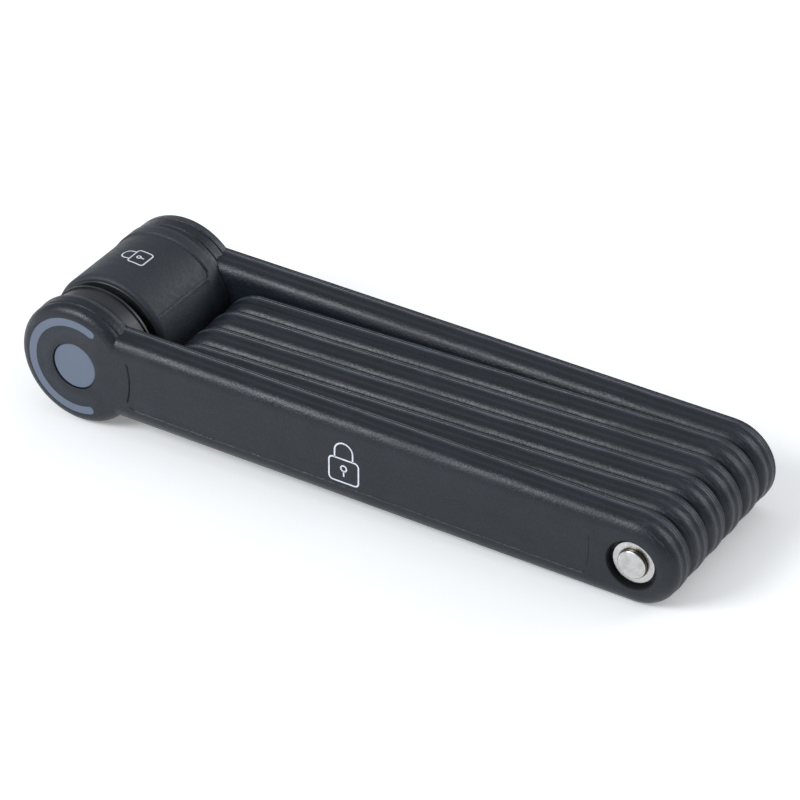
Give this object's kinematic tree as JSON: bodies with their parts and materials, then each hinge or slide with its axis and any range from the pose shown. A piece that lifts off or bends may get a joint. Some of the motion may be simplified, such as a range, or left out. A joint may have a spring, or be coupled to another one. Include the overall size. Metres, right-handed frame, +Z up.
{
  "type": "folding bike lock",
  "caption": "Folding bike lock: rubber-covered steel links riveted in a stack that unfolds into a loop, with a round key-operated lock body between the outer links.",
  "frame": {"origin": "centre of the folded lock's footprint, on the surface it rests on", "axes": "+X along the links from the lock body to the right-hand rivets, +Y through the stack from the front link to the back link, +Z up"},
  "size_m": [0.193, 0.0534, 0.0357],
  "materials": {
    "link_rubber": "satin moulded rubber, fine grain",
    "sleeve_rubber": "matt soft-touch rubber",
    "black_plastic": "satin moulded plastic",
    "grey_plastic": "satin blue-grey plastic",
    "hardened_steel": "hardened steel, dull",
    "rivet_steel": "brushed stainless steel",
    "washer_steel": "ground steel",
    "core_steel": "turned steel",
    "bolt_steel": "plated, satin",
    "spring_steel": "hard steel",
    "brass": "turned brass"
  },
  "bodies": {
    "link_6": {"steel_bar_6": "hardened_steel", "link_cover_6": "link_rubber", "rivet_5_6": "rivet_steel", "thrust_washer_5_6": "washer_steel", "nose_ring": "black_plastic", "lock_sleeve": "sleeve_rubber", "lock_housing": "hardened_steel", "cylinder_shell": "brass", "retaining_clip": "spring_steel", "guide_pin": "spring_steel", "keyhole_bezel": "black_plastic"},
    "link_5": {"steel_bar_5": "hardened_steel", "link_cover_5": "link_rubber", "rivet_4_5": "rivet_steel", "thrust_washer_4_5": "washer_steel"},
    "link_4": {"steel_bar_4": "hardened_steel", "link_cover_4": "link_rubber", "rivet_3_4": "rivet_steel", "thrust_washer_3_4": "washer_steel"},
    "link_3": {"steel_bar_3": "hardened_steel", "link_cover_3": "link_rubber", "rivet_2_3": "rivet_steel", "thrust_washer_2_3": "washer_steel"},
    "link_2": {"steel_bar_2": "hardened_steel", "link_cover_2": "link_rubber", "rivet_1_2": "rivet_steel", "thrust_washer_1_2": "washer_steel"},
    "link_1": {"steel_bar_1": "hardened_steel", "link_cover_1": "link_rubber", "head_collar": "black_plastic", "socket_hub": "hardened_steel", "front_cap": "grey_plastic", "ring_inlay": "grey_plastic"},
    "key_core": {"key_core": "core_steel", "detainer_discs": "brass", "side_bar": "spring_steel", "drive_shaft": "core_steel", "drive_pin": "spring_steel"},
    "locking_bolt": {"locking_bolt": "bolt_steel"}
  },
  "joints": [
    {"name": "hinge_5_6", "type": "hinge", "parent": "link_6", "child": "link_5", "pos_m": [0.0843, 0.0179, 0.0122], "axis": [0, 1, 0], "range_deg": [-180, 180]},
    {"name": "hinge_4_5", "type": "hinge", "parent": "link_5", "child": "link_4", "pos_m": [-0.0481, 0.00895, 0.0122], "axis": [0, 1, 0], "range_deg": [-92, 112]},
    {"name": "hinge_3_4", "type": "hinge", "parent": "link_4", "child": "link_3", "pos_m": [0.0843, 0, 0.0122], "axis": [0, 1, 0], "range_deg": [-180, 180]},
    {"name": "hinge_2_3", "type": "hinge", "parent": "link_3", "child": "link_2", "pos_m": [-0.0481, -0.00895, 0.0122], "axis": [0, 1, 0], "range_deg": [-92, 112]},
    {"name": "hinge_1_2", "type": "hinge", "parent": "link_2", "child": "link_1", "pos_m": [0.0843, -0.0179, 0.0122], "axis": [0, 1, 0], "range_deg": [-180, 180]},
    {"name": "key_turn", "type": "hinge", "parent": "link_6", "child": "key_core", "pos_m": [-0.0785, 0.01932, 0.0177], "axis": [0, -1, 0], "range_deg": [0, 90]},
    {"name": "bolt_slide", "type": "slide", "parent": "link_6", "child": "locking_bolt", "axis": [0, -1, 0], "range_m": [0, 0.0095]}
  ],
  "couplings": [
    {"joint": "bolt_slide", "follows": "key_turn", "m_per_rad": 0.006045}
  ]
}
